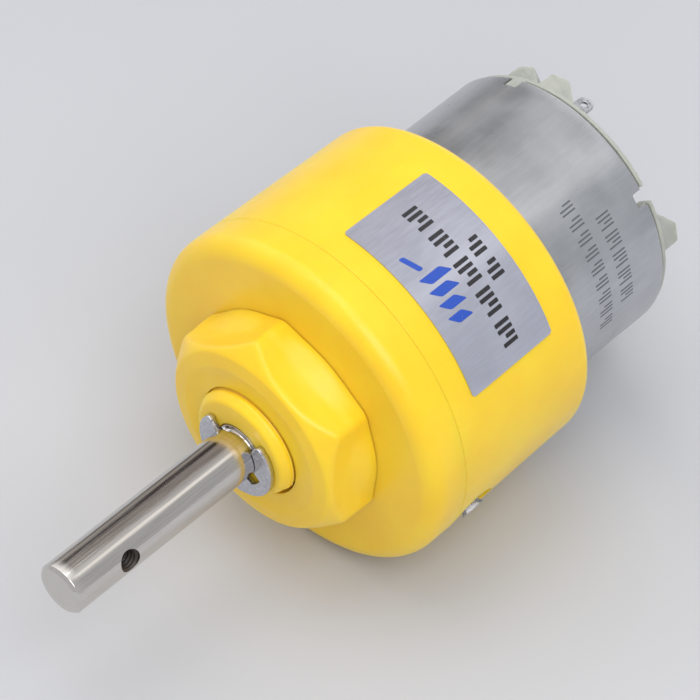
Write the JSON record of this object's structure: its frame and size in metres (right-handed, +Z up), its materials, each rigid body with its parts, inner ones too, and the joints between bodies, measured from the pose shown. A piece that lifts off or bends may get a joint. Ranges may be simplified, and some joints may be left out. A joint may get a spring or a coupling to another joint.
{
  "type": "geared dc motor",
  "caption": "Round plastic spur gearbox with a threaded neck, panel nut and cross-drilled output shaft, driven by a small brushed can motor behind it.",
  "frame": {"origin": "on the output shaft's axis at the gearbox's flat front face, where a panel bears", "axes": "-Y along the output shaft, away from the gearbox; +Y towards the motor; +Z up as the motor lies on a table"},
  "size_m": [0.041, 0.0794, 0.041],
  "materials": {
    "yellow_plastic": "semi-gloss injection-moulded yellow plastic",
    "label_foil": "satin silver foil label with dark and blue printed marks",
    "nickel_steel": "bright ground and plated steel",
    "clip_steel": "bright plated spring steel",
    "screw_steel": "bright zinc-plated steel",
    "zinc_steel": "satin zinc-plated deep-drawn steel, scuffed",
    "cream_nylon": "translucent cream nylon",
    "white_acetal": "white moulded acetal",
    "brass": "machined brass",
    "bronze": "oiled sintered bronze",
    "copper": "enamelled copper wire and copper strip",
    "ferrite": "matt black ferrite",
    "lamination_steel": "stacked electrical steel",
    "brown_phenolic": "brown phenolic"
  },
  "bodies": {
    "housing": {"front_cap": "yellow_plastic", "gearbox_barrel": "yellow_plastic", "rating_label": "label_foil", "cap_screw_1": "screw_steel", "cap_screw_2": "screw_steel", "motor_screw_1": "screw_steel", "motor_screw_2": "screw_steel", "gear_pin_1": "nickel_steel", "gear_pin_2": "nickel_steel", "gear_spacer": "brass", "motor_can": "zinc_steel", "motor_end_cap": "cream_nylon", "front_bearing": "bronze", "rear_bearing": "bronze", "magnet_1": "ferrite", "magnet_2": "ferrite", "magnet_spring": "zinc_steel", "terminal_1": "brass", "terminal_2": "brass", "brush_1": "copper", "brush_2": "copper"},
    "output": {"output_shaft": "nickel_steel", "output_gear": "white_acetal", "shaft_clip": "clip_steel", "thrust_washer": "clip_steel"},
    "second_reduction": {"second_reduction_gear": "white_acetal"},
    "first_reduction": {"first_reduction_gear": "white_acetal"},
    "rotor": {"rotor_shaft": "nickel_steel", "motor_pinion": "brass", "armature_core": "lamination_steel", "armature_coil_1": "copper", "armature_coil_2": "copper", "armature_coil_3": "copper", "commutator_drum": "brown_phenolic", "commutator_segment_1": "copper", "commutator_segment_2": "copper", "commutator_segment_3": "copper", "rotor_washer_1": "brown_phenolic", "rotor_washer_2": "brown_phenolic"},
    "nut": {"panel_nut": "yellow_plastic"}
  },
  "joints": [
    {"name": "output_spin", "type": "hinge", "parent": "housing", "child": "output", "pos_m": [0, 0, 0], "axis": [0, -1, 0], "continuous": true},
    {"name": "second_reduction_spin", "type": "hinge", "parent": "housing", "child": "second_reduction", "pos_m": [-0.00282, 0, 0.00964], "axis": [0, -1, 0], "continuous": true},
    {"name": "first_reduction_spin", "type": "hinge", "parent": "housing", "child": "first_reduction", "pos_m": [0.00682, 0, 0.00682], "axis": [0, -1, 0], "continuous": true},
    {"name": "rotor_spin", "type": "hinge", "parent": "housing", "child": "rotor", "pos_m": [0, 0.03, 0], "axis": [0, -1, 0], "continuous": true},
    {"name": "panel_nut_travel", "type": "slide", "parent": "housing", "child": "nut", "axis": [0, -1, 0], "range_m": [0, 0.008]}
  ],
  "couplings": [
    {"joint": "first_reduction_spin", "follows": "rotor_spin", "ratio": -0.33333},
    {"joint": "second_reduction_spin", "follows": "rotor_spin", "ratio": 0.10526},
    {"joint": "output_spin", "follows": "rotor_spin", "ratio": -0.033241}
  ]
}
